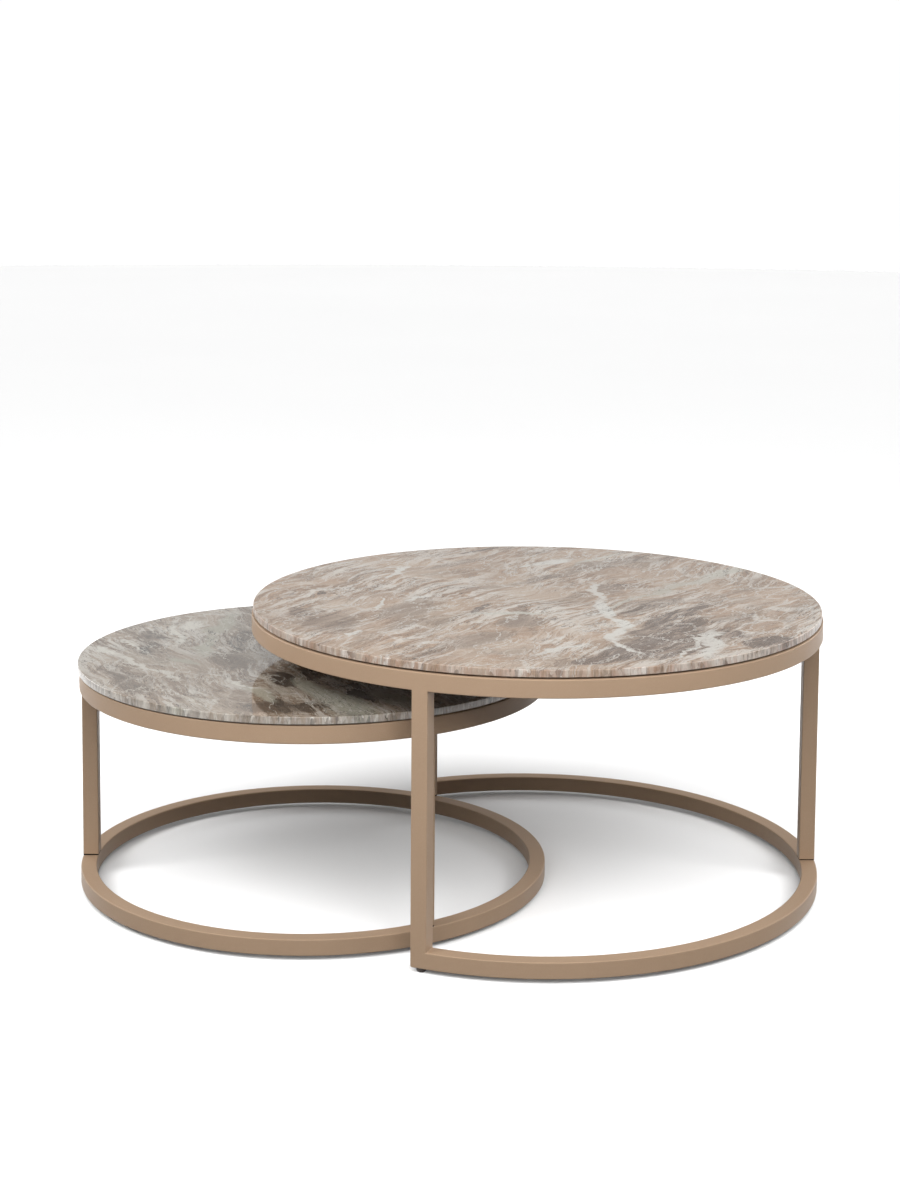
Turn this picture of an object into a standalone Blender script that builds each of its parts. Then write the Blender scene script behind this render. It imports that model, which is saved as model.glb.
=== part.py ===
"""Two round nesting tables: marble slabs on square-tube ring frames.

Units are metres, +Z is up, and the floor is z = 0.  The origin is under the
middle of the pair.  The large table stands at +X, the small one at -X, and the
small one slides along X through the open side of the large table's base ring.
"""
from math import cos, pi, radians, sin

import bpy

# Driving dimensions of the tables
LARGE_FRAME_RADIUS = 0.399
LARGE_TOP_RADIUS = 0.397
LARGE_HEIGHT = 0.400
SMALL_FRAME_RADIUS = 0.328
SMALL_TOP_RADIUS = 0.330
SMALL_HEIGHT = 0.320
CENTRE_DISTANCE = 0.312

# Steel tube
TUBE = 0.022
TUBE_WALL = 0.002
TUBE_CHAMFER = 0.0012
TOP_RING_HEIGHT = 0.024
BASE_RING_HEIGHT = 0.022
FLOOR_GAP = 0.007
GAP = 0.0003

# Marble slab and the clear bumpers under it
SLAB_THICKNESS = 0.010
SLAB_CHAMFER = 0.0008
BUMPER_HEIGHT = 0.002
BUMPER_RADIUS = 0.005
BUMPER_COUNT = 6

# Legs, by their bearing from the table's centre in degrees
LARGE_LEGS = {"right": 0.0, "rear": 113.5, "front": -113.5}
SMALL_LEGS = {"left": 180.0, "rear": 60.0, "front": -60.0}
LARGE_SEAM = 0.0007
SMALL_SEAM = 0.0012
SPIGOT_LENGTH = 0.035

# Levelling foot and its threaded rivet nut
FOOT_RADIUS = 0.0065
FOOT_TIP_RADIUS = 0.0050
FOOT_TIP_HEIGHT = 0.0020
STEM_RADIUS = 0.0028
STEM_TOP = 0.017
NUT_BORE = 0.0032
NUT_RADIUS = 0.0045
NUT_FLANGE_RADIUS = 0.0065
NUT_FLANGE = 0.0008
NUT_TOP = 0.0185
NUT_HOLE_RADIUS = 0.0049

# Facets
RING_STEPS = 72
SMALL_STEPS = 16
HOLE_STEPS = 24
SHARP_ANGLE = radians(35)

BASE_RING_TOP = FLOOR_GAP + BASE_RING_HEIGHT


def clear_scene():
    for old in list(bpy.data.objects):
        bpy.data.objects.remove(old, do_unlink=True)


def new_collection(name):
    group = bpy.data.collections.new(name)
    bpy.context.scene.collection.children.link(group)
    return group


def new_material(name, colour, roughness, metallic=0.0):
    material = bpy.data.materials.new(name)
    material.use_nodes = True
    shader = material.node_tree.nodes["Principled BSDF"]
    shader.inputs["Base Color"].default_value = (*colour, 1.0)
    shader.inputs["Roughness"].default_value = roughness
    shader.inputs["Metallic"].default_value = metallic
    return material


def new_empty(name, location):
    empty = bpy.data.objects.new(name, None)
    empty.location = location
    parts.objects.link(empty)
    return empty


def finish(piece, material, parent=None, group=None):
    """Put a piece into its collection, under its table, with its own material."""
    for old in list(piece.users_collection):
        old.objects.unlink(piece)
    (group or parts).objects.link(piece)
    piece.parent = parent
    if material:
        piece.data.materials.clear()
        piece.data.materials.append(material)
    return piece


def hide_cutter(piece):
    piece.hide_render = True
    piece.display_type = "WIRE"


def turned(name, profile, steps, closed):
    """A solid of revolution about its own Z axis, from (radius, z) points."""
    mesh = bpy.data.meshes.new(name)
    points = [(radius, 0.0, z) for radius, z in profile]
    edges = [(i, i + 1) for i in range(len(points) - 1)]
    if closed:
        edges.append((len(points) - 1, 0))
    mesh.from_pydata(points, edges, [])
    piece = bpy.data.objects.new(name, mesh)
    bpy.context.scene.collection.objects.link(piece)
    screw = piece.modifiers.new("turn", "SCREW")
    screw.angle = 2 * pi
    screw.steps = steps
    screw.render_steps = steps
    screw.use_merge_vertices = True
    screw.merge_threshold = 0.0001
    bpy.context.view_layer.update()
    evaluated = piece.evaluated_get(bpy.context.evaluated_depsgraph_get())
    piece.data = bpy.data.meshes.new_from_object(evaluated)
    piece.modifiers.clear()
    piece.data.shade_smooth()
    piece.data.set_sharp_from_angle(angle=SHARP_ANGLE)
    return piece


def tube_ring_profile(radius, low, high, depth, chamfer):
    """Closed section of a ring, running down its outer side."""
    inner = radius - depth
    return [
        (radius, high - chamfer), (radius, low + chamfer),
        (radius - chamfer, low), (inner + chamfer, low),
        (inner, low + chamfer), (inner, high - chamfer),
        (inner + chamfer, high), (radius - chamfer, high),
    ]


def bore_profile(radius, low, high, depth):
    """Closed section of the hollow inside a ring."""
    inner = radius - depth + TUBE_WALL
    outer = radius - TUBE_WALL
    top = high - TUBE_WALL
    bottom = low + TUBE_WALL
    return [(outer, top), (outer, bottom), (inner, bottom), (inner, top)]


def box(name, size, location, turn=0.0):
    bpy.ops.mesh.primitive_cube_add(size=1.0, location=location, rotation=(0, 0, turn))
    piece = bpy.context.object
    piece.name = name
    piece.data.name = name
    piece.scale = size
    bpy.ops.object.transform_apply(location=False, rotation=False, scale=True)
    return piece


def bevel(piece, width, segments=1):
    edge = piece.modifiers.new("edges", "BEVEL")
    edge.width = width
    edge.segments = segments
    edge.limit_method = "ANGLE"


def cut(piece, cutter, operation="DIFFERENCE"):
    boolean = piece.modifiers.new(cutter.name, "BOOLEAN")
    boolean.operation = operation
    boolean.solver = "EXACT"
    boolean.object = cutter


def on_circle(radius, bearing, z=0.0):
    angle = radians(bearing)
    return (radius * cos(angle), radius * sin(angle), z)


def mouth_cutter(name, parent, radius, inset):
    """The space between the two left legs, bounded by the planes of their sides.

    Two half-space blocks are intersected.  inset moves both planes away from
    the mouth's middle plane, which leaves a thicker ring end.
    """
    reach = 4 * radius
    blocks = []
    for side in ("rear", "front"):
        bearing = LARGE_LEGS[side]
        turn = 1.0 if bearing > 0 else -1.0
        along = radians(bearing + turn * 90.0)
        shift = TUBE / 2 - inset + reach / 2
        centre = (shift * cos(along), shift * sin(along), 0.0)
        block = box(f"{name}_{side}", (reach, 2 * reach, 0.2), centre, along)
        finish(block, None, parent, cutters)
        hide_cutter(block)
        blocks.append(block)
    cut(blocks[0], blocks[1], "INTERSECT")
    return blocks[0]


def hollow_ring(name, parent, material, radius, low, high, mouth=False):
    """A square-tube ring with a hollow inside, open where the mouth is."""
    ring = turned(name, tube_ring_profile(radius, low, high, TUBE, TUBE_CHAMFER), RING_STEPS, True)
    finish(ring, material, parent)
    bore = turned(f"cut_{name}_bore", bore_profile(radius, low, high, TUBE), RING_STEPS, True)
    finish(bore, None, parent, cutters)
    hide_cutter(bore)
    if mouth:
        cut(bore, mouth_cutter(f"cut_{name}_bore_end", parent, radius, TUBE_WALL))
        cut(ring, mouth_cutter(f"cut_{name}_mouth", parent, radius, 0.0))
    cut(ring, bore)
    return ring


def drill(piece, parent, bearings, radius, low, high):
    """Round holes through one wall of a ring, which also vent its hollow."""
    for label, bearing in bearings.items():
        x, y, _ = on_circle(radius, bearing)
        bpy.ops.mesh.primitive_cylinder_add(
            vertices=HOLE_STEPS, radius=NUT_HOLE_RADIUS, depth=high - low,
            location=(x, y, (low + high) / 2))
        hole = bpy.context.object
        hole.name = f"cut_{piece.name}_{label}"
        finish(hole, None, parent, cutters)
        hide_cutter(hole)
        cut(piece, hole)


def leg(name, parent, material, radius, bearing, low, high):
    """An open-ended square tube whose outer face is flush with the rings."""
    place = on_circle(radius - TUBE / 2, bearing, (low + high) / 2)
    piece = box(name, (TUBE, TUBE, high - low), place, radians(bearing))
    finish(piece, material, parent)
    inside = TUBE - 2 * TUBE_WALL
    bore = box(f"cut_{name}_bore", (inside, inside, high - low + TUBE), place, radians(bearing))
    finish(bore, None, parent, cutters)
    hide_cutter(bore)
    cut(piece, bore)
    return piece


def spigot(name, parent, material, radius, bearing):
    """A stub welded on the base ring, which the leg's open end is fixed over."""
    side = TUBE - 2 * TUBE_WALL - 2 * GAP
    low = BASE_RING_TOP + GAP
    place = on_circle(radius - TUBE / 2, bearing, low + SPIGOT_LENGTH / 2)
    piece = box(name, (side, side, SPIGOT_LENGTH), place, radians(bearing))
    bevel(piece, 0.0008)
    return finish(piece, material, parent)


def foot(name, parent, material, radius, bearing):
    """A moulded glide with its threaded stem, screwed fully home."""
    top = FLOOR_GAP - GAP - NUT_FLANGE - GAP
    profile = [
        (0.0, STEM_TOP), (STEM_RADIUS, STEM_TOP), (STEM_RADIUS, top), (FOOT_RADIUS, top),
        (FOOT_RADIUS, FOOT_TIP_HEIGHT), (FOOT_TIP_RADIUS, 0.0), (0.0, 0.0),
    ]
    piece = turned(name, profile, SMALL_STEPS, False)
    piece.location = on_circle(radius - TUBE / 2, bearing)
    return finish(piece, material, parent)


def rivet_nut(name, parent, material, radius, bearing):
    """A flanged threaded sleeve in the bottom wall of the base ring."""
    flange_top = FLOOR_GAP - GAP
    flange_low = flange_top - NUT_FLANGE
    profile = [
        (NUT_RADIUS, NUT_TOP), (NUT_RADIUS, flange_top), (NUT_FLANGE_RADIUS, flange_top),
        (NUT_FLANGE_RADIUS, flange_low), (NUT_BORE, flange_low), (NUT_BORE, NUT_TOP),
    ]
    piece = turned(name, profile, SMALL_STEPS, True)
    piece.location = on_circle(radius - TUBE / 2, bearing)
    return finish(piece, material, parent)


def bumper(name, parent, material, radius, bearing, low):
    """A clear silicone disc between the ring and the slab."""
    high = low + BUMPER_HEIGHT - 2 * GAP
    profile = [
        (0.0, high), (BUMPER_RADIUS - 0.0005, high), (BUMPER_RADIUS, low), (0.0, low),
    ]
    piece = turned(name, profile, SMALL_STEPS, False)
    piece.location = on_circle(radius, bearing)
    return finish(piece, material, parent)


def slab(name, parent, material, radius, height):
    """A round stone slab with lightly eased edges."""
    low = height - SLAB_THICKNESS
    edge = radius - SLAB_CHAMFER
    profile = [
        (0.0, height), (edge, height), (radius, height - SLAB_CHAMFER),
        (radius, low + SLAB_CHAMFER), (edge, low), (0.0, low),
    ]
    piece = turned(name, profile, RING_STEPS, False)
    return finish(piece, material, parent)


def table(label, centre, frame_radius, top_radius, height, legs, seams, mouth, stone):
    """One table.  seams maps the legs that stand on a spigot to their joint width."""
    origin = new_empty(f"{label}_table", (centre, 0.0, 0.0))
    ring_top = height - SLAB_THICKNESS - BUMPER_HEIGHT
    ring_low = ring_top - TOP_RING_HEIGHT

    slab(f"{label}_marble_top", origin, stone, top_radius, height)
    for number in range(BUMPER_COUNT):
        bearing = 30.0 + number * 360.0 / BUMPER_COUNT
        bumper(f"{label}_bumper_{number + 1}", origin, silicone,
               frame_radius - TUBE / 2, bearing, ring_top + GAP)

    top_ring = hollow_ring(f"{label}_top_ring", origin, coating, frame_radius, ring_low, ring_top)
    drill(top_ring, origin, legs, frame_radius - TUBE / 2, ring_low - TUBE, ring_low + TUBE / 2)

    base_ring = hollow_ring(f"{label}_base_ring", origin, coating, frame_radius,
                            FLOOR_GAP, BASE_RING_TOP, mouth)
    drill(base_ring, origin, legs, frame_radius - TUBE / 2, FLOOR_GAP - TUBE, FLOOR_GAP + TUBE / 2)

    for side, bearing in legs.items():
        seam = seams.get(side, GAP)
        leg(f"{label}_leg_{side}", origin, coating, frame_radius, bearing,
            BASE_RING_TOP + seam, ring_low - GAP)
        if side in seams:
            spigot(f"{label}_leg_spigot_{side}", origin, steel, frame_radius, bearing)
        rivet_nut(f"{label}_foot_nut_{side}", origin, steel, frame_radius, bearing)
        foot(f"{label}_foot_{side}", origin, plastic, frame_radius, bearing)


clear_scene()
parts = new_collection("nesting_tables")
cutters = new_collection("cutters")

coating = new_material("champagne_powder_coat", (0.44, 0.32, 0.225), 0.42, 0.25)
warm_marble = new_material("warm_marble", (0.56, 0.47, 0.40), 0.12)
grey_marble = new_material("grey_marble", (0.40, 0.38, 0.34), 0.12)
silicone = new_material("clear_silicone", (0.70, 0.70, 0.68), 0.35)
plastic = new_material("dark_brown_plastic", (0.045, 0.030, 0.022), 0.50)
steel = new_material("zinc_plated_steel", (0.55, 0.55, 0.56), 0.35, 1.0)

# Each table keeps its outer edge the same distance from the origin.
pair_middle = (LARGE_FRAME_RADIUS - SMALL_TOP_RADIUS) / 2
large_centre = CENTRE_DISTANCE / 2 - pair_middle
small_centre = large_centre - CENTRE_DISTANCE

table("large", large_centre, LARGE_FRAME_RADIUS, LARGE_TOP_RADIUS, LARGE_HEIGHT,
      LARGE_LEGS, {"right": LARGE_SEAM}, True, warm_marble)
table("small", small_centre, SMALL_FRAME_RADIUS, SMALL_TOP_RADIUS, SMALL_HEIGHT,
      SMALL_LEGS, {side: SMALL_SEAM for side in SMALL_LEGS}, False, grey_marble)

bpy.context.view_layer.update()
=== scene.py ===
"""Looks of two round nesting tables: polished marble on champagne powder-coated steel."""
from math import asin, cos, pi, radians, sin

import bmesh
import bpy
from mathutils import Matrix, Vector


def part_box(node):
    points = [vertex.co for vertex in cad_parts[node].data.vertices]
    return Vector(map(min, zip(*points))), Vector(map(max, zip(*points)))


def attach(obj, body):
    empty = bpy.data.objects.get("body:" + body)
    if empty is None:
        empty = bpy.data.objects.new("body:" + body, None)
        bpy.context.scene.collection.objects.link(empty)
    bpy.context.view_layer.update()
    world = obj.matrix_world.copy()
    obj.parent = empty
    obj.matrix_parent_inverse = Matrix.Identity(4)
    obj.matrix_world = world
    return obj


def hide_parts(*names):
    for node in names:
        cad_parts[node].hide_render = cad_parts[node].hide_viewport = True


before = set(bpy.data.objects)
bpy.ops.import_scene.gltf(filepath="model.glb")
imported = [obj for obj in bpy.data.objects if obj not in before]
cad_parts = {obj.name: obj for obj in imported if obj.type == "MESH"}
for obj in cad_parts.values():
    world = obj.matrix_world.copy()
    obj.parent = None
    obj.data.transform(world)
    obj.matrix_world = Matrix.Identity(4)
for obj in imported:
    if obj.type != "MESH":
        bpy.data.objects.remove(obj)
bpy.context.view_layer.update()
scene = bpy.context.scene

# What the frame is made of

TABLES = ("large", "small")
SIDES = {"large": ("right", "rear", "front"), "small": ("rear", "left", "front")}
BEARINGS = {
    "large": {"right": 0.0, "rear": 113.5, "front": 246.5},
    "small": {"rear": 60.0, "left": 180.0, "front": 300.0},
}
BODIES = {"large": "large_table", "small": "small_table"}
SLAB_MATERIAL = {"large": "warm_marble", "small": "grey_marble"}
BUMPERS = range(1, 7)


def low_of(node):
    return Vector(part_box(node)[0])


def high_of(node):
    return Vector(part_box(node)[1])


def middle_of(node):
    return (low_of(node) + high_of(node)) / 2


def radius_of(node):
    return (high_of(node).x - low_of(node).x) / 2


# Sizes in metres, and how finely round shapes are divided

TUBE = 0.022  # width of the tube of every ring and leg
TUBE_EDGE = 0.0016
RING_END_EDGE = 0.003  # rounder edge across the open ends of the large base ring
SEAM_EDGE = 0.0003
SEAM_OPEN = 0.0008  # added to the joint under a leg, so that it reads as a dark line
CELL_DEGREES = 1.25
LEG_CELLS = 4
EDGE_STEPS = 4
SHADING_WEIGHT = 80
SHARP_ANGLE = radians(40)
CORNER_ANGLE = radians(30)
SAME_PLACE = 1e-5

SLAB_EDGE = 0.0012
SLAB_SHOULDER = 0.0006  # flat strip just inside the slab's rounding, which keeps its shading crisp
SLAB_RINGS = (0.25, 0.5, 0.75, 0.95)
SLAB_STEPS = 288

SMALL_STEPS = 48
SMALL_EDGE = 0.0003
FOOT_TIP = 0.0050
FOOT_TIP_HEIGHT = 0.0020
STEM = 0.0028
THREAD_PITCH = 0.0008
THREAD_DEPTH = 0.00035
THREAD_ROOT = STEM - THREAD_DEPTH
THREAD_TURN = ((THREAD_ROOT, 0.2), (STEM, 0.5), (STEM, 0.6), (THREAD_ROOT, 0.9))
NUT = 0.0045
NUT_BORE = 0.0032
NUT_FLANGE = 0.0008

SPIGOT = 0.0174
INSERT_COLLAR = 0.0212
INSERT_CORNER = 0.0012
INSERT_CHAMFER = 0.0015
COLLAR_GAP = 0.0001

# Camera

CAMERA_PLACE = Vector((-0.0023, -2.9947, 1.0569))
CAMERA_PITCH = radians(6.06)
CAMERA_ROLL = radians(0.40)
CAMERA_LENS = 64.94
CAMERA_SHIFT = -0.20
SENSOR_WIDTH = 36.0
CLIP_START = 0.1
CLIP_END = 200.0


def make_camera():
    data = bpy.data.cameras.new("camera")
    data.sensor_width = SENSOR_WIDTH
    data.lens = CAMERA_LENS
    data.shift_y = CAMERA_SHIFT
    data.clip_start = CLIP_START
    data.clip_end = CLIP_END
    camera = bpy.data.objects.new("camera", data)
    lean = Matrix.Rotation(pi / 2 - CAMERA_PITCH, 4, "X")
    roll = Matrix.Rotation(CAMERA_ROLL, 4, "Z")
    camera.matrix_world = Matrix.Translation(CAMERA_PLACE) @ lean @ roll
    scene.collection.objects.link(camera)
    scene.camera = camera


make_camera()

# Studio: floor, backdrop, lamps and a dim room

STUDIO_RADIUS = 14.0
STUDIO_STEPS = 96
BACKDROP_HEIGHT = 5.2
BACKDROP_GLOW = 0.95
BACKDROP_GLOW_TOP = 0.42
GLOW_FADES = (2.0, 3.2)
ROOM_ABOVE = 0.115
ROOM_BELOW = 0.03
HORIZON_BLUR = 0.05
FLOOR_SHADE = 0.80
BACKDROP_SHADE = 0.05

# Lamps: place, aim, watts and shape.  The wash is a sun that lights the floor and backdrop alone.
TABLES_MIDDLE = (0.0, 0.0, 0.2)
FLOOR_MIDDLE = (0.0, 0.0, 0.0)
SMALL_LAMP = {"shape": "RECTANGLE", "size": 1.2, "size_y": 0.9}
WIDE_LAMP = {"shape": "RECTANGLE", "size": 1.8, "size_y": 0.9}
TOP_LAMP = {"shape": "SQUARE", "size": 1.8}
SOFT_LAMPS = {
    "key_front": ((0.1, -1.9, 1.45), TABLES_MIDDLE, 28.5, WIDE_LAMP),
    "key_left": ((-1.75, -1.05, 1.75), TABLES_MIDDLE, 25.5, SMALL_LAMP),
    "key_right": ((1.75, -1.05, 1.75), TABLES_MIDDLE, 18.0, SMALL_LAMP),
    "fill_left": ((-1.8, 1.5, 1.3), TABLES_MIDDLE, 15.0, SMALL_LAMP),
    "fill_right": ((1.8, 1.5, 1.3), TABLES_MIDDLE, 15.0, SMALL_LAMP),
    "overhead": ((0.0, 0.5, 2.3), (0.0, 0.2, 0.0), 10.5, TOP_LAMP),
}
WASH_PLACE = (0.0, -4.0, 4.5)
WASH_POWER = 4.5
WASH_ANGLE = radians(80)


def srgb(red, green, blue):
    """A screen colour, 0 to 255, made linear."""
    def linear(value):
        value = value / 255
        return value / 12.92 if value <= 0.04045 else ((value + 0.055) / 1.055) ** 2.4
    return (linear(red), linear(green), linear(blue))


FLAT = (1, 1, 0)  # takes the height out of a place


class Nodes:
    """Short calls for building one material's nodes."""

    def __init__(self, name):
        self.material = bpy.data.materials.new(name)
        self.material.use_nodes = True
        self.tree = self.material.node_tree
        self.shader = self.tree.nodes["Principled BSDF"]

    def node(self, kind, **settings):
        made = self.tree.nodes.new(kind)
        for key, value in settings.items():
            setattr(made, key, value)
        return made

    def feed(self, socket, value):
        """Links a node's output to a socket, or sets a constant on the socket itself."""
        if isinstance(value, bpy.types.NodeSocket):
            self.tree.links.new(value, socket)
        elif value is not None:
            socket.default_value = value

    def math(self, operation, a, b=None):
        made = self.node("ShaderNodeMath", operation=operation)
        self.feed(made.inputs[0], a)
        self.feed(made.inputs[1], b)
        return made.outputs[0]

    def vector(self, operation, a, b=None, scale=None):
        made = self.node("ShaderNodeVectorMath", operation=operation)
        self.feed(made.inputs[0], a)
        self.feed(made.inputs[1], b)
        if scale is not None:
            made.inputs[3].default_value = scale
        return made.outputs["Value" if operation == "LENGTH" else "Vector"]

    def place(self):
        """Where a point lies on the object, in metres."""
        return self.node("ShaderNodeTexCoord").outputs["Object"]

    def mapping(self, vector, turn=0.0, scale=(1, 1, 1), shift=(0, 0, 0), kind="POINT"):
        """A place scaled, turned about Z and shifted, or the reverse for the kind TEXTURE."""
        made = self.node("ShaderNodeMapping", vector_type=kind)
        self.feed(made.inputs["Vector"], vector)
        made.inputs["Rotation"].default_value = (0, 0, turn)
        made.inputs["Scale"].default_value = scale
        made.inputs["Location"].default_value = shift
        return made.outputs[0]

    def noise(self, vector, scale, detail=2.0, rough=0.5, colour=False):
        """A cloudy noise from 0 to 1, with its scale in waves per metre."""
        made = self.node("ShaderNodeTexNoise")
        self.feed(made.inputs["Vector"], vector)
        made.inputs["Scale"].default_value = scale
        made.inputs["Detail"].default_value = detail
        made.inputs["Roughness"].default_value = rough
        return made.outputs["Color" if colour else "Fac"]

    def cells(self, vector, scale, feature):
        """Cells round scattered points, with their scale in cells per metre."""
        made = self.node("ShaderNodeTexVoronoi", feature=feature)
        self.feed(made.inputs["Vector"], vector)
        made.inputs["Scale"].default_value = scale
        return made.outputs

    def fade(self, value, low, high, out_low=0.0, out_high=1.0):
        """Eases a value between low and high into one between out_low and out_high."""
        made = self.node("ShaderNodeMapRange", interpolation_type="SMOOTHSTEP")
        self.feed(made.inputs["Value"], value)
        made.inputs["From Min"].default_value = low
        made.inputs["From Max"].default_value = high
        made.inputs["To Min"].default_value = out_low
        made.inputs["To Max"].default_value = out_high
        return made.outputs["Result"]

    def mix(self, amount, a, b):
        """Colour a, turning into colour b as the amount goes from 0 to 1."""
        made = self.node("ShaderNodeMix", data_type="RGBA")
        self.feed(made.inputs["Factor"], amount)
        for socket, value in ((made.inputs[6], a), (made.inputs[7], b)):
            if isinstance(value, tuple):
                value = (*value[:3], 1.0)
            self.feed(socket, value)
        return made.outputs[2]

    def ramp(self, value, stops, interpolation="LINEAR"):
        """The colour at a value along stops of (place, colour)."""
        made = self.node("ShaderNodeValToRGB")
        self.feed(made.inputs[0], value)
        ramp = made.color_ramp
        ramp.interpolation = interpolation
        while len(ramp.elements) < len(stops):
            ramp.elements.new(1.0)
        for element, (place, colour) in zip(ramp.elements, stops):
            element.position = place
            element.color = (*colour, 1.0)
        return made.outputs["Color"]

    def bend(self, vector, scale, amount, detail=3.0, rough=0.55):
        """The vector pushed about by a noise, by up to about half the amount each way."""
        push = self.noise(vector, scale, detail, rough, colour=True)
        push = self.vector("SUBTRACT", push, (0.5, 0.5, 0.5))
        return self.vector("ADD", vector, self.vector("SCALE", push, scale=amount))

    def ridge(self, value, width):
        """1 where a noise crosses its middle value, falling to 0 at the width."""
        away = self.math("ABSOLUTE", self.math("SUBTRACT", value, 0.5))
        return self.fade(away, 0.0, width, 1.0, 0.0)

    def nearest(self, vector, shapes):
        """How far out of the nearest placed oval a point is: 0 at its middle, 1 at its rim."""
        found = None
        for x, y, turn, length, width in shapes:
            here = self.mapping(vector, radians(turn), (length, width, 1.0), (x, y, 0.0), "TEXTURE")
            away = self.vector("LENGTH", self.vector("MULTIPLY", here, FLAT))
            found = away if found is None else self.math("MINIMUM", found, away)
        return found

    def height(self, vector):
        """How high a place is."""
        made = self.node("ShaderNodeSeparateXYZ")
        self.feed(made.inputs[0], vector)
        return made.outputs["Z"]

    def bump(self, height, strength, distance):
        """Tips the shader's normal by the slope of a height."""
        made = self.node("ShaderNodeBump")
        self.feed(made.inputs["Height"], height)
        made.inputs["Strength"].default_value = strength
        made.inputs["Distance"].default_value = distance
        self.feed(self.shader.inputs["Normal"], made.outputs[0])

    def surface(self, colour, rough, **constants):
        """Sets the shader, and gives the finished material."""
        self.feed(self.shader.inputs["Base Color"], colour)
        self.feed(self.shader.inputs["Roughness"], rough)
        for key, value in constants.items():
            socket = key.replace("_", " ").title().replace("Ior", "IOR")
            self.shader.inputs[socket].default_value = value
        return self.material


studio = bpy.data.collections.new("studio")
scene.collection.children.link(studio)


def pale_paper(name, shade):
    n = Nodes(name)
    cloud = n.noise(n.place(), 0.6, detail=2.0)
    colour = n.mix(cloud, (shade, shade, shade), (shade + 0.02, shade + 0.02, shade + 0.02))
    return n, n.surface(colour, 0.9, specular_ior_level=0.1)


def glowing_paper(name):
    """Paper lit brightest near the floor, as a studio sweep is."""
    n, material = pale_paper(name, BACKDROP_SHADE)
    height = n.height(n.place())
    glow = n.fade(height, *GLOW_FADES, BACKDROP_GLOW, BACKDROP_GLOW_TOP)
    n.feed(n.shader.inputs["Emission Strength"], glow)
    n.shader.inputs["Emission Color"].default_value = (1.0, 1.0, 1.0, 1.0)
    return material


def stage_sheet(name, points, faces, material):
    mesh = bpy.data.meshes.new(name)
    mesh.from_pydata(points, [], faces)
    mesh.materials.append(material)
    mesh.shade_smooth()
    sheet = bpy.data.objects.new(name, mesh)
    sheet.visible_diffuse = False
    studio.objects.link(sheet)
    return sheet


def lamp(name, kind, place, aim, power, **settings):
    data = bpy.data.lights.new(name, kind)
    data.energy = power
    for key, value in settings.items():
        setattr(data, key, value)
    made = bpy.data.objects.new(name, data)
    made.location = place
    made.rotation_mode = "QUATERNION"
    made.rotation_quaternion = (Vector(aim) - Vector(place)).to_track_quat("-Z", "Y")
    made.visible_camera = False
    scene.collection.objects.link(made)
    return made


def make_studio():
    ring = []
    for step in range(STUDIO_STEPS):
        angle = 2 * pi * step / STUDIO_STEPS
        ring.append((STUDIO_RADIUS * cos(angle), STUDIO_RADIUS * sin(angle), 0.0))
    stage_sheet("floor", ring, [list(range(STUDIO_STEPS))], pale_paper("pale_floor", FLOOR_SHADE)[1])
    raised = [(x, y, BACKDROP_HEIGHT) for x, y, z in ring]
    panels = []
    for step in range(STUDIO_STEPS):
        after = (step + 1) % STUDIO_STEPS
        panels.append((step, after, STUDIO_STEPS + after, STUDIO_STEPS + step))
    wall = stage_sheet("backdrop", ring + raised, panels, glowing_paper("pale_backdrop"))
    wall.visible_shadow = False
    for name, (place, aim, watts, shape) in SOFT_LAMPS.items():
        lamp(name, "AREA", place, aim, watts, **shape)
    wash = lamp("floor_wash", "SUN", WASH_PLACE, FLOOR_MIDDLE, WASH_POWER, angle=WASH_ANGLE)
    wash.light_linking.receiver_collection = studio


def make_room():
    """Dim light from all round, a little brighter from above the horizon than from below."""
    world = bpy.data.worlds.new("room")
    world.use_nodes = True
    tree = world.node_tree
    background = tree.nodes["Background"]
    height = tree.nodes.new("ShaderNodeSeparateXYZ")
    grade = tree.nodes.new("ShaderNodeMapRange")
    grade.inputs["From Min"].default_value = -HORIZON_BLUR
    grade.inputs["From Max"].default_value = HORIZON_BLUR
    grade.inputs["To Min"].default_value = ROOM_BELOW
    grade.inputs["To Max"].default_value = ROOM_ABOVE
    direction = tree.nodes.new("ShaderNodeTexCoord").outputs["Generated"]
    tree.links.new(direction, height.inputs[0])
    tree.links.new(height.outputs["Z"], grade.inputs["Value"])
    tree.links.new(grade.outputs["Result"], background.inputs["Strength"])
    background.inputs["Color"].default_value = (1.0, 1.0, 1.0, 1.0)
    scene.world = world
    scene.view_settings.view_transform = "Standard"


make_studio()
make_room()

# Materials


def powder_coat():
    n = Nodes("champagne_powder_coat")
    place = n.place()
    cloud = n.noise(place, 14.0, detail=3.0)
    grain = n.noise(place, 1400.0, detail=2.0, rough=0.6)
    peel = n.noise(place, 420.0, detail=2.0, rough=0.5)
    colour = n.mix(cloud, srgb(178, 150, 124), srgb(188, 159, 132))
    colour = n.mix(n.fade(grain, 0.45, 0.8, 0.0, 0.5), colour, srgb(201, 177, 152))
    rough = n.fade(cloud, 0.3, 0.7, 0.42, 0.50)
    n.bump(n.math("ADD", peel, n.math("MULTIPLY", grain, 0.35)), strength=0.10, distance=0.0004)
    return n.surface(colour, rough, specular_ior_level=0.25)


def joint_steel_painted_shade():
    n = Nodes("joint_steel_painted_seam_shade")
    # Painted shade: a real steel insert, coloured near-black to stand in for the shade inside the seam under
    # a leg
    colour = n.mix(n.noise(n.place(), 300.0, detail=3.0), srgb(12, 10, 9), srgb(24, 20, 18))
    return n.surface(colour, 0.8, specular_ior_level=0.2)


def zinc():
    n = Nodes("zinc_plate")
    spangle = n.noise(n.place(), 260.0, detail=4.0, rough=0.6)
    colour = n.mix(spangle, srgb(178, 180, 182), srgb(214, 214, 210))
    n.bump(spangle, strength=0.08, distance=0.0003)
    return n.surface(colour, n.fade(spangle, 0.3, 0.7, 0.28, 0.42), metallic=1.0)


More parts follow.
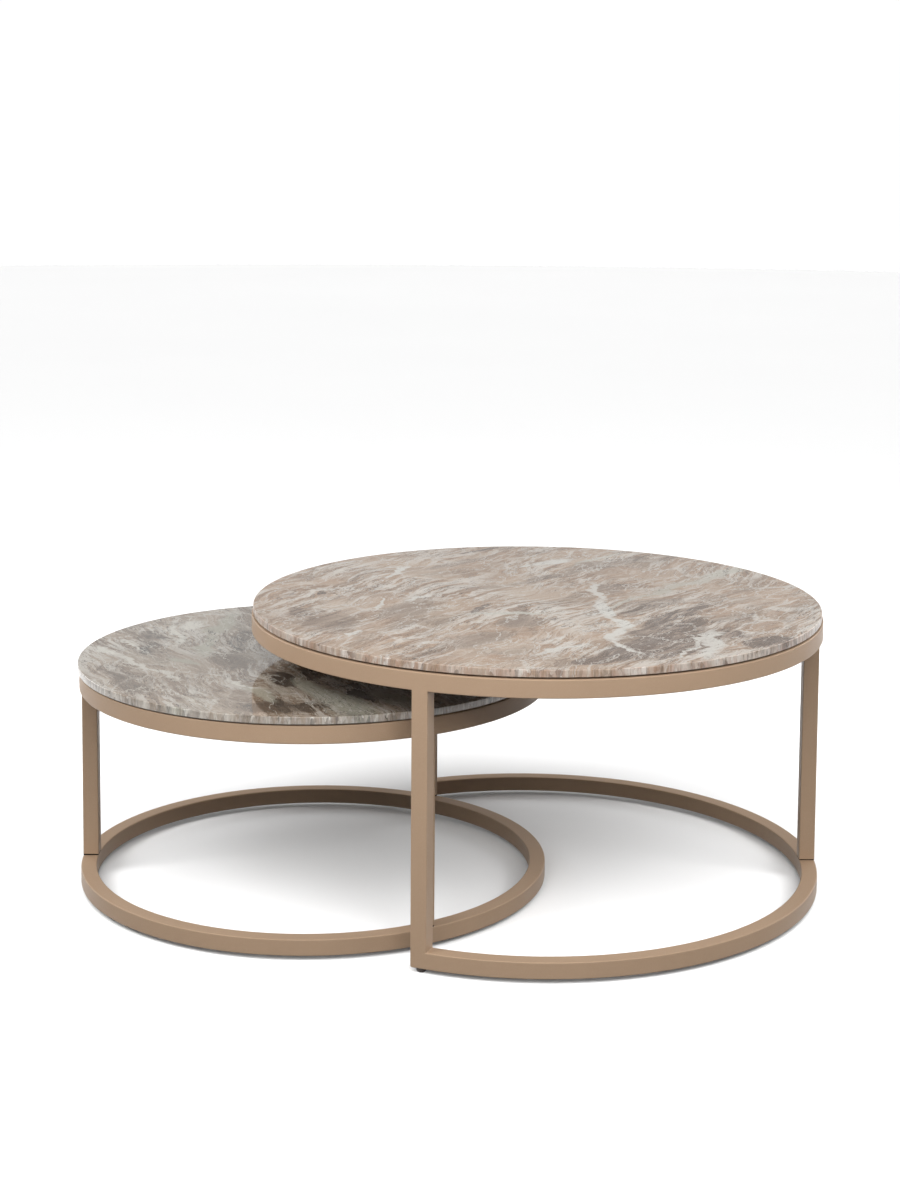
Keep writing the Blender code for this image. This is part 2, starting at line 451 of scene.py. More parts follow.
def foot_plastic():
    n = Nodes("dark_brown_plastic")
    grain = n.noise(n.place(), 900.0, detail=3.0, rough=0.6)
    colour = n.mix(grain, srgb(48, 37, 31), srgb(66, 52, 43))
    n.bump(grain, strength=0.15, distance=0.0003)
    return n.surface(colour, 0.5)


def silicone():
    n = Nodes("hazy_silicone")
    haze = n.noise(n.place(), 250.0, detail=2.0)
    colour = n.mix(haze, srgb(196, 194, 188), srgb(216, 214, 209))
    return n.surface(colour, n.fade(haze, 0.3, 0.7, 0.25, 0.4), transmission_weight=0.35)


# Placed shapes in the stone, from the slab's middle: x, y, direction in degrees, half length, half width

WARM_FLOW = 56.0
WARM_WHITE = [
    (0.088, 0.059, 98, 0.064, 0.007), (0.096, -0.051, 96, 0.072, 0.012),
    (0.109, -0.136, 103, 0.037, 0.010), (0.103, -0.205, 73, 0.052, 0.012),
    (0.101, -0.278, 113, 0.045, 0.006), (-0.008, 0.247, 60, 0.018, 0.006),
    (0.034, 0.269, 35, 0.041, 0.010), (-0.198, 0.188, 80, 0.058, 0.006),
    (-0.166, 0.006, 50, 0.030, 0.006), (0.012, -0.294, 42, 0.048, 0.007),
    (0.218, -0.252, 80, 0.086, 0.013), (0.195, -0.261, 67, 0.095, 0.005),
    (-0.243, -0.209, 70, 0.029, 0.007), (0.091, -0.065, 56, 0.036, 0.005),
    (-0.219, -0.028, 75, 0.053, 0.003),
]
WARM_GREEN = [
    (0.288, 0.194, 56, 0.060, 0.012), (0.230, 0.122, 43, 0.050, 0.012),
    (0.180, 0.062, 53, 0.052, 0.009), (0.132, -0.010, 60, 0.046, 0.006),
    (0.111, 0.306, 46, 0.057, 0.006), (-0.039, -0.079, 0, 0.055, 0.006),
]
WARM_TAUPE = [
    (-0.288, -0.136, 122, 0.090, 0.033), (-0.184, -0.078, 71, 0.095, 0.033),
    (0.013, 0.147, 50, 0.054, 0.012), (0.105, 0.259, 36, 0.071, 0.027),
    (0.137, 0.099, 34, 0.032, 0.016), (0.099, 0.075, 122, 0.037, 0.014),
    (0.155, -0.036, 56, 0.073, 0.021), (0.008, -0.118, 53, 0.039, 0.017),
    (0.071, -0.087, 53, 0.039, 0.016), (-0.032, -0.124, 55, 0.041, 0.019),
    (-0.121, -0.271, 44, 0.094, 0.028), (-0.109, 0.259, 45, 0.070, 0.013),
    (-0.225, 0.094, 37, 0.025, 0.007),
]
WARM_DARK = [
    (0.168, -0.238, 58, 0.128, 0.070), (0.197, -0.079, 51, 0.107, 0.019),
    (0.290, -0.237, 51, 0.041, 0.022), (0.087, -0.326, 33, 0.076, 0.022),
    (0.247, -0.197, 73, 0.033, 0.016), (-0.325, -0.084, 119, 0.031, 0.013),
    (-0.078, -0.041, 68, 0.032, 0.006), (-0.089, 0.354, 38, 0.043, 0.006),
    (-0.304, 0.032, 76, 0.016, 0.005),
]
WARM_CALM = [
    (-0.020, 0.004, 65, 0.083, 0.047), (0.211, 0.213, 62, 0.089, 0.043),
    (-0.257, -0.028, 77, 0.085, 0.030),
]
GREY_FLOW = 112.0
GREY_WHITE = [
    (-0.190, 0.175, 96, 0.038, 0.016), (-0.209, 0.113, 99, 0.070, 0.007),
    (-0.295, 0.007, 125, 0.036, 0.006), (-0.254, -0.049, 124, 0.042, 0.006),
    (-0.212, -0.097, 143, 0.027, 0.006), (-0.260, 0.048, 122, 0.048, 0.003),
    (-0.088, -0.172, 131, 0.034, 0.004), (-0.212, -0.102, 131, 0.067, 0.004),
]
GREY_GREEN = [
    (-0.146, 0.187, 84, 0.077, 0.015), (-0.156, 0.044, 88, 0.066, 0.012),
    (0.057, -0.264, 115, 0.056, 0.026), (-0.159, -0.296, 125, 0.022, 0.009),
    (-0.176, -0.044, 135, 0.031, 0.007), (0.010, -0.190, 115, 0.060, 0.018),
    (0.120, -0.235, 118, 0.045, 0.016), (-0.060, -0.215, 120, 0.040, 0.010),
]
GREY_TAUPE = [
    (-0.242, 0.077, 89, 0.070, 0.019), (-0.110, 0.070, 90, 0.062, 0.016),
    (-0.117, -0.037, 124, 0.053, 0.025), (-0.212, 0.190, 76, 0.030, 0.010),
    (-0.238, -0.168, 125, 0.071, 0.015),
]
GREY_DARK = [
    (-0.018, -0.280, 138, 0.052, 0.036), (0.068, -0.253, 92, 0.070, 0.005),
    (-0.040, -0.132, 110, 0.054, 0.018), (0.000, -0.088, 112, 0.039, 0.022),
    (-0.243, 0.029, 104, 0.023, 0.007), (0.072, -0.200, 112, 0.060, 0.011),
    (0.150, -0.170, 115, 0.055, 0.016),
]

# Polished stone.  A contour field runs along a flow: low is white, the middle is the ground colour, high is
# dark.  The scales of the noises are in waves per metre, and the reaches of placed shapes are in their radii.

FIELD_SCALE = 4.6
FIELD_SPREAD = 1.6
FIELD_SQUEEZE = 2.9
SWING_REACH = {"taupe": (0.3, 1.6), "dark": (0.3, 1.5), "white": (0.3, 1.5)}
SWING = {"taupe": 0.30, "dark": 0.48, "white": 0.30}
CALM_FIELD = 0.46
CALM_POWER = 0.7
SHARD_SCALE = 11.0
SHARD_POWER = 0.36
PATCH_POWER = {"taupe": 0.60, "dark": 0.85}
PATCH_SWAY = 2.2
FLOW_LINES = 42.0
GRAIN_SCALE = 480.0
EDGE_BARS = 210.0
EDGE_START = 0.0022
EDGE_FULL = 0.0008
UNDERSIDE_START = -0.0090
UNDERSIDE_FULL = -0.0098
GLOSS_SPREAD = 0.03
EDGE_ROUGHER = 0.22
UNDERSIDE_ROUGHER = 0.45


def field_swing(n, placed, shapes):
    """How far the placed shapes push the contour field, up to dark or down to white."""
    push = {}
    for group, (start, end) in SWING_REACH.items():
        push[group] = n.fade(n.nearest(placed, shapes[group]), start, end, SWING[group], 0.0)
    return n.math("SUBTRACT", n.math("ADD", push["taupe"], push["dark"]), push["white"])


def contours(n, flow, swing, detail):
    across = n.mapping(flow, scale=(1.0, FIELD_SQUEEZE, 1.0))
    drift = n.math("SUBTRACT", n.noise(across, FIELD_SCALE, detail=detail, rough=0.58), 0.5)
    return n.math("ADD", n.math("ADD", n.math("MULTIPLY", drift, FIELD_SPREAD), 0.5), swing)


def calmed(n, field, placed, calm):
    """The field, held near the ground colour inside the calm shapes."""
    quiet = n.fade(n.nearest(placed, calm), 0.6, 1.3, CALM_POWER, 0.0)
    return n.math("ADD", field, n.math("MULTIPLY", quiet, n.math("SUBTRACT", CALM_FIELD, field)))


def add_shards(n, colour, flow, sunk, tones):
    """Cells drawn out along the flow, each with its own tone, and some pale seams between them."""
    shards = n.mapping(flow, scale=(1.0, 2.6, 1.0), shift=(0.37, 0.11, 0.0))
    chance = n.cells(shards, SHARD_SCALE, "F1")["Color"]
    colour = n.mix(SHARD_POWER, colour, n.ramp(chance, tones["shards"], "CONSTANT"))
    seam = n.cells(shards, SHARD_SCALE, "DISTANCE_TO_EDGE")["Distance"]
    some = n.fade(n.noise(sunk, 8.0, detail=2.0), 0.42, 0.62, 0.0, 0.10)
    seam = n.fade(n.math("SUBTRACT", seam, some), -0.03, 0.03, 1.0, 0.0)
    return n.mix(n.math("MULTIPLY", seam, 0.8), colour, tones["light"])


def add_patches(n, colour, placed, sway, shapes, tones):
    """Placed taupe and dark patches, with rims that follow the contours."""
    for group, power in PATCH_POWER.items():
        rim = n.math("SUBTRACT", n.nearest(placed, shapes[group]), sway)
        colour = n.mix(n.fade(rim, 0.86, 1.0, power, 0.0), colour, tones[group])
        at_rim = n.math("ABSOLUTE", n.math("SUBTRACT", rim, 1.0))
        colour = n.mix(n.fade(at_rim, 0.0, 0.06, 0.5, 0.0), colour, tones["shade"])
    return colour


def add_lines(n, colour, flow, sunk, smooth, streak, tones):
    """Flow lines, streaks and threads, strongest in some zones, and dark outlines of streaks."""
    zone = n.fade(n.noise(sunk, 7.0, detail=3.0), 0.42, 0.58, 0.15, 1.0)
    deep = n.fade(smooth, 0.58, 0.80)
    pale_tone = n.mix(deep, tones["light"], tones["taupe_light"])
    dark_tone = n.mix(deep, tones["brown"], tones["shade"])
    waves = n.math("SINE", n.math("MULTIPLY", smooth, FLOW_LINES))
    lines = n.math("MULTIPLY", n.math("ADD", waves, 1.0), 0.5)
    thread = n.noise(n.mapping(flow, scale=(0.60, 7.0, 1.0)), 19.0, detail=5.0, rough=0.64)
    for value, start, full, dark_power, light_power in (
        (lines, 0.34, 0.48, 0.5, 0.5),
        (streak, 0.035, 0.065, 0.85, 0.85),
        (thread, 0.05, 0.075, 0.70, 0.65),
    ):
        light = n.fade(value, 0.5 + start, 0.5 + full, 0.0, light_power)
        dark = n.fade(value, 0.5 - full, 0.5 - start, dark_power, 0.0)
        colour = n.mix(n.math("MULTIPLY", light, zone), colour, pale_tone)
        colour = n.mix(n.math("MULTIPLY", dark, zone), colour, dark_tone)
    outline = n.ridge(n.math("SUBTRACT", streak, 0.033), 0.006)
    some = n.fade(n.noise(sunk, 17.0, detail=2.0), 0.45, 0.60)
    return n.mix(n.math("MULTIPLY", outline, some), colour, tones["shade"])


def add_veins(n, colour, flow, sunk, placed, streak, shapes, tones):
    """Greenish bands, pale veins, and dark hairlines along the flow."""
    rim = n.math("ADD", n.nearest(placed, shapes["green"]), n.math("SUBTRACT", streak, 0.5))
    colour = n.mix(n.fade(rim, 0.60, 1.45, 0.85, 0.0), colour, tones["green"])
    loose = n.mapping(flow, scale=(1.0, 2.2, 1.0), shift=(3.1, 0.7, 0))
    vein = n.ridge(n.noise(loose, 6.0, detail=6.0, rough=0.62), 0.010)
    colour = n.mix(n.math("MULTIPLY", vein, 0.8), colour, tones["white"])
    frayed = n.bend(n.bend(placed, 30.0, 0.018, detail=4.0), 90.0, 0.008)
    broad = n.fade(n.nearest(frayed, shapes["white"]), 0.6, 1.2, 0.95, 0.0)
    colour = n.mix(broad, colour, tones["white"])
    tight = n.mapping(flow, scale=(1.0, 4.2, 1.0), shift=(7.7, 2.3, 0))
    hair = n.ridge(n.noise(tight, 8.0, detail=5.0, rough=0.62), 0.010)
    hair = n.math("MULTIPLY", hair, n.fade(n.noise(sunk, 7.0, detail=3.0), 0.45, 0.53))
    return n.mix(n.math("MULTIPLY", hair, 0.85), colour, tones["hair"])


def add_wisps(n, colour, flow, sunk, tones):
    """Fine lines tight along the flow, each dark beside a pale one."""
    tight = n.mapping(flow, scale=(0.60, 9.0, 1.0), shift=(1.9, 4.4, 0))
    wisp = n.noise(tight, 13.0, detail=4.0, rough=0.55)
    some = n.fade(n.noise(sunk, 9.0, detail=3.0), 0.44, 0.54)
    fine = n.math("MULTIPLY", n.ridge(wisp, 0.012), some)
    colour = n.mix(n.math("MULTIPLY", fine, 0.7), colour, tones["shade"])
    fine = n.math("MULTIPLY", n.ridge(n.math("SUBTRACT", wisp, 0.028), 0.014), some)
    return n.mix(n.math("MULTIPLY", fine, 0.8), colour, tones["light"])


def add_grain(n, colour, grain, sunk, tones):
    """Crystal grain and cloudy browning."""
    colour = n.mix(n.fade(grain, 0.33, 0.48, 0.35, 0.0), colour, tones["shade"])
    colour = n.mix(n.fade(grain, 0.52, 0.68, 0.0, 0.30), colour, tones["light"])
    cloudy = n.fade(n.noise(sunk, 4.0, detail=3.0), 0.38, 0.62, 0.18, 0.0)
    return n.mix(cloudy, colour, tones["brown"])


def add_sawn_edge(n, colour, centred, edge, tones):
    """Short upright streaks round the slab's edge."""
    upright = n.mapping(centred, scale=(1.0, 1.0, 0.35))
    upright = n.bend(upright, 160.0, 0.006, detail=3.0, rough=0.65)
    barred = n.ramp(n.cells(upright, EDGE_BARS, "F1")["Color"], tones["edge"])
    patchy = n.fade(n.noise(upright, 60.0, detail=4.0, rough=0.7), 0.40, 0.60, 0.15, 0.62)
    specks = n.fade(n.noise(upright, 320.0, detail=3.0, rough=0.7), 0.36, 0.52, 0.40, 0.0)
    barred = n.mix(specks, barred, tones["shade"])
    return n.mix(n.math("MULTIPLY", edge, patchy), colour, barred)


def marble(name, node, gloss, coat, flow_angle, tones, shapes):
    """Polished banded stone for one slab, centred on its node."""
    n = Nodes(name)
    middle = middle_of(node)
    centred = n.mapping(n.place(), shift=(-middle.x, -middle.y, -high_of(node).z))
    sunk = n.mapping(centred, scale=(1.0, 1.0, 0.25))
    bent = n.bend(n.bend(sunk, 3.2, 0.13, detail=2.0), 10.0, 0.030, detail=3.0)
    ragged = n.bend(n.bend(bent, 42.0, 0.0050, detail=3.0), 160.0, 0.0016, detail=3.0)
    flow = n.mapping(ragged, turn=-radians(flow_angle))
    placed = n.bend(n.bend(sunk, 12.0, 0.055, detail=3.0), 60.0, 0.014)

    swing = field_swing(n, placed, shapes)
    field = contours(n, flow, swing, 6.0)
    smooth = contours(n, flow, swing, 2.5)
    if shapes["calm"]:
        field = calmed(n, field, placed, shapes["calm"])
    above = n.math("SUBTRACT", n.math("SUBTRACT", field, swing), 0.5)
    sway = n.math("MULTIPLY", above, PATCH_SWAY)
    streak = n.noise(n.mapping(flow, scale=(0.62, 6.0, 1.0)), 8.0, detail=5.0, rough=0.60)
    grain = n.noise(ragged, GRAIN_SCALE, detail=4.0, rough=0.70)

    colour = n.ramp(field, tones["bands"])
    colour = add_shards(n, colour, flow, sunk, tones)
    colour = add_patches(n, colour, placed, sway, shapes, tones)
    colour = add_lines(n, colour, flow, sunk, smooth, streak, tones)
    colour = add_veins(n, colour, flow, sunk, placed, streak, shapes, tones)
    colour = add_wisps(n, colour, flow, sunk, tones)
    colour = add_grain(n, colour, grain, sunk, tones)

    # The edge is sawn and the underside honed, so both are duller than the top; the underside is also painted
    # darker as shade
    out = n.vector("LENGTH", n.vector("MULTIPLY", centred, FLAT))
    rim_radius = radius_of(node)
    edge = n.fade(out, rim_radius - EDGE_START, rim_radius - EDGE_FULL)
    colour = add_sawn_edge(n, colour, centred, edge, tones)
    under = n.fade(n.height(centred), UNDERSIDE_FULL, UNDERSIDE_START, 1.0, 0.0)
    # Painted shade: the underside is pulled towards the shade tone, which also darkens its reflection in the
    # slab below
    colour = n.mix(n.math("MULTIPLY", under, 0.75), colour, tones["shade"])
    polish = n.fade(n.noise(ragged, 60.0, detail=3.0), 0.3, 0.7, gloss, gloss + GLOSS_SPREAD)
    rough = n.math("ADD", polish, n.math("MULTIPLY", edge, EDGE_ROUGHER))
    rough = n.math("ADD", rough, n.math("MULTIPLY", under, UNDERSIDE_ROUGHER))
    pitted = n.math("MULTIPLY", grain, n.math("MAXIMUM", edge, under))
    n.bump(pitted, strength=0.25, distance=0.0004)
    return n.surface(colour, rough, coat_weight=coat, coat_roughness=gloss)


WARM_SHAPES = {
    "white": WARM_WHITE, "green": WARM_GREEN, "taupe": WARM_TAUPE, "dark": WARM_DARK, "calm": WARM_CALM,
}
GREY_SHAPES = {
    "white": GREY_WHITE, "green": GREY_GREEN, "taupe": GREY_TAUPE, "dark": GREY_DARK, "calm": [],
}
WARM_TONES = {
    "bands": [
        (0.10, srgb(212, 205, 194)), (0.24, srgb(206, 193, 179)), (0.32, srgb(184, 157, 133)),
        (0.37, srgb(202, 186, 169)), (0.40, srgb(174, 146, 121)), (0.46, srgb(184, 157, 133)),
        (0.495, srgb(203, 187, 170)), (0.51, srgb(172, 143, 118)), (0.57, srgb(166, 140, 116)),
        (0.60, srgb(120, 96, 74)), (0.62, srgb(200, 185, 168)), (0.65, srgb(142, 121, 101)),
        (0.72, srgb(158, 139, 119)), (0.77, srgb(130, 109, 90)), (0.80, srgb(88, 68, 52)),
        (0.82, srgb(174, 158, 142)), (0.845, srgb(108, 88, 72)), (0.90, srgb(124, 104, 89)),
        (0.96, srgb(84, 66, 52)),
    ],
    "shards": [
        (0.0, srgb(180, 152, 128)), (0.30, srgb(192, 171, 150)), (0.44, srgb(158, 131, 107)),
        (0.56, srgb(182, 154, 130)), (0.68, srgb(132, 112, 93)), (0.78, srgb(206, 194, 180)),
    ],
    "light": srgb(213, 205, 195), "taupe_light": srgb(168, 150, 134), "taupe": srgb(142, 124, 108),
    "dark": srgb(90, 73, 63), "brown": srgb(146, 118, 93), "shade": srgb(98, 77, 60),
    "green": srgb(194, 191, 179), "white": srgb(217, 215, 208), "hair": srgb(54, 39, 28),
    "edge": [
        (0.20, srgb(92, 76, 72)), (0.32, srgb(168, 138, 120)), (0.46, srgb(204, 182, 168)),
        (0.58, srgb(228, 222, 216)), (0.74, srgb(182, 150, 132)),
    ],
}
GREY_TONES = {
    "bands": [
        (0.10, srgb(212, 205, 192)), (0.24, srgb(204, 195, 181)), (0.32, srgb(170, 153, 135)),
        (0.37, srgb(200, 189, 174)), (0.40, srgb(156, 138, 120)), (0.46, srgb(170, 154, 136)),
        (0.495, srgb(196, 184, 169)), (0.51, srgb(154, 137, 119)), (0.57, srgb(148, 131, 113)),
        (0.60, srgb(90, 75, 61)), (0.62, srgb(194, 183, 168)), (0.65, srgb(120, 102, 85)),
        (0.72, srgb(136, 119, 102)), (0.77, srgb(102, 85, 69)), (0.80, srgb(52, 39, 28)),
        (0.82, srgb(158, 146, 132)), (0.845, srgb(78, 62, 49)), (0.90, srgb(96, 79, 65)),
        (0.96, srgb(50, 37, 27)),
    ],
    "shards": [
        (0.0, srgb(168, 151, 133)), (0.30, srgb(184, 170, 154)), (0.44, srgb(148, 130, 112)),
        (0.56, srgb(170, 153, 135)), (0.68, srgb(114, 97, 81)), (0.80, srgb(192, 185, 170)),
    ],
    "light": srgb(207, 201, 191), "taupe_light": srgb(150, 134, 119), "taupe": srgb(122, 108, 94),
    "dark": srgb(42, 37, 34), "brown": srgb(132, 114, 97), "shade": srgb(70, 60, 50),
    "green": srgb(181, 179, 163), "white": srgb(216, 212, 201), "hair": srgb(52, 40, 30),
    "edge": [
        (0.20, srgb(44, 42, 40)), (0.32, srgb(126, 116, 107)), (0.46, srgb(186, 178, 168)),
        (0.58, srgb(226, 223, 216)), (0.74, srgb(144, 130, 118)),
    ],
}

MATERIALS = {
    "powder_coat": powder_coat(),
    "joint": joint_steel_painted_shade(),
    "zinc_steel": zinc(),
    "foot_plastic": foot_plastic(),
    "clear_silicone": silicone(),
    "warm_marble": marble(
        "polished_warm_marble", "large_marble_top", gloss=0.10, coat=0.0,
        flow_angle=WARM_FLOW, tones=WARM_TONES, shapes=WARM_SHAPES,
    ),
    "grey_marble": marble(
        "polished_grey_marble", "small_marble_top", gloss=0.05, coat=0.5,
        flow_angle=GREY_FLOW, tones=GREY_TONES, shapes=GREY_SHAPES,
    ),
}

# Mesh helpers


def new_piece(name, bm, material, body, slot, *stands_for):
    bmesh.ops.recalc_face_normals(bm, faces=bm.faces)
    mesh = bpy.data.meshes.new(name)
    bm.to_mesh(mesh)
    bm.free()
    mesh.shade_smooth()
    mesh.set_sharp_from_angle(angle=SHARP_ANGLE)
    mesh.materials.append(MATERIALS[material])
    piece = bpy.data.objects.new(name, mesh)
    scene.collection.objects.link(piece)
    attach(piece, body)
    if stands_for:
        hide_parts(*stands_for)
    return piece


def lathe(centre, profile, steps, hollow=False):
    """A closed solid turned from (radius, z) points.  A hollow one joins its last point to its first."""
    bm = bmesh.new()
    rings = []
    for radius, z in profile:
        count = steps if radius > 0 else 1
        ring = []
        for step in range(count):
            angle = 2 * pi * step / steps
            x = centre.x + radius * cos(angle)
            y = centre.y + radius * sin(angle)
            ring.append(bm.verts.new((x, y, z)))
        rings.append(ring)
    pairs = list(zip(rings, rings[1:]))
    if hollow:
        pairs.append((rings[-1], rings[0]))
    for upper, lower in pairs:
        for step in range(steps):
            after = (step + 1) % steps
            corners = [
                upper[step % len(upper)], upper[after % len(upper)],
                lower[after % len(lower)], lower[step % len(lower)],
            ]
            unique = list(dict.fromkeys(corners))
            if len(unique) > 2:
                bm.faces.new(unique)
    return bm


def arc(middle_r, middle_z, radius, start, end, steps=5):
    """Points of a rounded corner in a turned profile, with its angles in degrees."""
    points = []
    for step in range(steps + 1):
        angle = radians(start + (end - start) * step / steps)
        points.append((middle_r + radius * cos(angle), middle_z + radius * sin(angle)))
    return points


# Welded frames: rings and legs cut from one grid of cells round the table


def ring_borders(outer, inner, bearings):
    """Borders between cells as (outer angle, inner angle), and the leg or span each cell belongs to."""
    borders = []
    owners = []
    order = sorted(bearings.items(), key=lambda item: item[1])
    half_out = asin(TUBE / 2 / outer)
    half_in = asin(TUBE / 2 / inner)
    for index, (side, bearing) in enumerate(order):
        next_side, next_bearing = order[(index + 1) % len(order)]
        start = radians(bearing)
        end = radians(next_bearing if next_bearing > bearing else next_bearing + 360)
        for step in range(LEG_CELLS):
            share = 2 * step / LEG_CELLS - 1
            borders.append((start + share * half_out, start + share * half_in))
            owners.append(side)
        count = round((end - start - 2 * half_out) / radians(CELL_DEGREES))
        for step in range(count):
            share = step / count
            borders.append((
                start + half_out + share * (end - start - 2 * half_out),
                start + half_in + share * (end - start - 2 * half_in),
            ))
            owners.append(f"{side}_{next_side}")
    return borders, owners


def cell_solid(centre, outer, inner, bearings, levels, filled, soft_edges):
    """A closed solid from the cells that filled(owner, level) keeps.

    levels are heights from low to high, and level k lies between heights k and k + 1.
    soft_edges(a, b) gives the rounding of a sharp edge between two points.
    """
    borders, owners = ring_borders(outer, inner, bearings)
    bm = bmesh.new()
    weight = bm.edges.layers.float.new("bevel_weight_edge")
    made = {}

    def point(border, level, is_outer):
        key = (border % len(borders), level, is_outer)
        if key not in made:
            out_angle, in_angle = borders[key[0]]
            radius, angle = (outer, out_angle) if is_outer else (inner, in_angle)
            made[key] = bm.verts.new((
                centre.x + radius * cos(angle), centre.y + radius * sin(angle), levels[level],
            ))
        return made[key]

    def face(*corners):
        bm.faces.new([point(*corner) for corner in corners])

    def solid(cell, level):
        return 0 <= level < len(levels) - 1 and filled(owners[cell % len(owners)], level)

    for cell in range(len(owners)):
        for level in range(len(levels) - 1):
            if not solid(cell, level):
                continue
            a, b, low, high = cell, cell + 1, level, level + 1
            for side in (True, False):
                face((a, low, side), (b, low, side), (b, high, side), (a, high, side))
            for neighbour, z in ((level - 1, low), (level + 1, high)):
                if not solid(cell, neighbour):
                    face((a, z, True), (b, z, True), (b, z, False), (a, z, False))
            for neighbour, border in ((cell - 1, a), (cell + 1, b)):
                if not solid(neighbour, level):
                    outside = ((border, low, True), (border, high, True))
                    face(*outside, (border, high, False), (border, low, False))
    bmesh.ops.recalc_face_normals(bm, faces=bm.faces)
    bm.normal_update()
    for edge in bm.edges:
        if len(edge.link_faces) == 2 and edge.calc_face_angle() > CORNER_ANGLE:
            edge[weight] = soft_edges(*(vert.co for vert in edge.verts)) / RING_END_EDGE
    return bm


def round_over(piece):
    """Rounds the edges by their weights, and keeps the flat faces flat in shading."""
    bevel = piece.modifiers.new("rounding", "BEVEL")
    bevel.limit_method = "WEIGHT"
    bevel.width = RING_END_EDGE
    bevel.segments = EDGE_STEPS
    bevel.use_clamp_overlap = True
    shading = piece.modifiers.new("even_shading", "WEIGHTED_NORMAL")
    shading.keep_sharp = False
    shading.weight = SHADING_WEIGHT


def level_edge(a, b, height):
    """Whether both ends of an edge lie at a height."""
    return abs(a.z - height) < SAME_PLACE and abs(b.z - height) < SAME_PLACE


def tube_piece(name, table, bm, *stands_for):
    piece = new_piece(name, bm, "powder_coat", BODIES[table], "powder_coat", *stands_for)
    round_over(piece)


def make_large_frame():
    """Rings and legs of the large table, with its base ring open between the front and rear legs."""
    ring = "large_top_ring"
    outer = radius_of(ring)
    inner = outer - TUBE
    base_low = low_of("large_base_ring").z
    base_high = high_of("large_base_ring").z
    seam_high = low_of("large_leg_right").z + SEAM_OPEN
    levels = [base_low, base_high, seam_high, low_of(ring).z, high_of(ring).z]
    centre = middle_of(ring)
    welded = {"rear", "front"}

    def filled(owner, level):
        if level == 0:
            return owner != "rear_front"
        if level == 1:
            return owner in welded
        return level == 3 or owner in SIDES["large"]

    def soft(a, b):
        at_seam = level_edge(a, b, seam_high)
        ends_ring = level_edge(a, b, base_low)
        across = abs((a - centre).xy.length - (b - centre).xy.length) > TUBE / 2
        if at_seam:
            return SEAM_EDGE
        return RING_END_EDGE if ends_ring and across else TUBE_EDGE

    bm = cell_solid(centre, outer, inner, BEARINGS["large"], levels, filled, soft)
    legs = [f"large_leg_{side}" for side in SIDES["large"]]
    tube_piece("large_welded_frame", "large", bm, ring, "large_base_ring", *legs)


def make_small_frame():
    """Top ring and legs of the small table in one piece, and its base ring in another."""
    ring = "small_top_ring"
    outer = radius_of(ring)
    inner = outer - TUBE
    seam_high = low_of("small_leg_left").z + SEAM_OPEN
    levels = [seam_high, low_of(ring).z, high_of(ring).z]

    def soft(a, b):
        return SEAM_EDGE if level_edge(a, b, seam_high) else TUBE_EDGE

    def upper(owner, level):
        return level == 1 or owner in SIDES["small"]

    def everywhere(owner, level):
        return True

    bm = cell_solid(middle_of(ring), outer, inner, BEARINGS["small"], levels, upper, soft)
    legs = [f"small_leg_{side}" for side in SIDES["small"]]
    tube_piece("small_welded_frame", "small", bm, ring, *legs)
    base = "small_base_ring"
    levels = [low_of(base).z, high_of(base).z]
    bm = cell_solid(middle_of(base), outer, inner, BEARINGS["small"], levels, everywhere, soft)
    tube_piece("small_base_tube", "small", bm, base)


def make_slab(table):
    """A round stone slab with eased edges."""
    node = f"{table}_marble_top"
    low, high = low_of(node).z, high_of(node).z
    radius = radius_of(node)
    inside = radius - SLAB_EDGE
    profile = [(0.0, high)]
    profile += [(inside * share, high) for share in SLAB_RINGS]
    profile += [(inside - SLAB_SHOULDER, high)]
    profile += arc(inside, high - SLAB_EDGE, SLAB_EDGE, 90, 0)
    profile += arc(inside, low + SLAB_EDGE, SLAB_EDGE, 0, -90)
    profile += [(inside - SLAB_SHOULDER, low)]
    profile += [(inside * share, low) for share in reversed(SLAB_RINGS)]
    profile += [(0.0, low)]
    bm = lathe(middle_of(node), profile, SLAB_STEPS)
    material = SLAB_MATERIAL[table]
    new_piece(f"{table}_marble_slab", bm, material, BODIES[table], material, node)


make_large_frame()
make_small_frame()
for table in TABLES:
    make_slab(table)


def make_bumper(table, number):
    """A clear stick-on disc, pressed a little so that its side bulges."""
    node = f"{table}_bumper_{number}"
    low, high = low_of(node).z, high_of(node).z
    radius = radius_of(node)
    bulge = (high - low) / 2
    inside = radius - bulge
    profile = [(0.0, high), (inside / 2, high)]
    profile += arc(inside, low + bulge, bulge, 90, -90, steps=10)
    profile += [(inside / 2, low), (0.0, low)]
    bm = lathe(middle_of(node), profile, SMALL_STEPS)
    name = f"{table}_bumper_disc_{number}"
    new_piece(name, bm, "clear_silicone", BODIES[table], "clear_silicone", node)


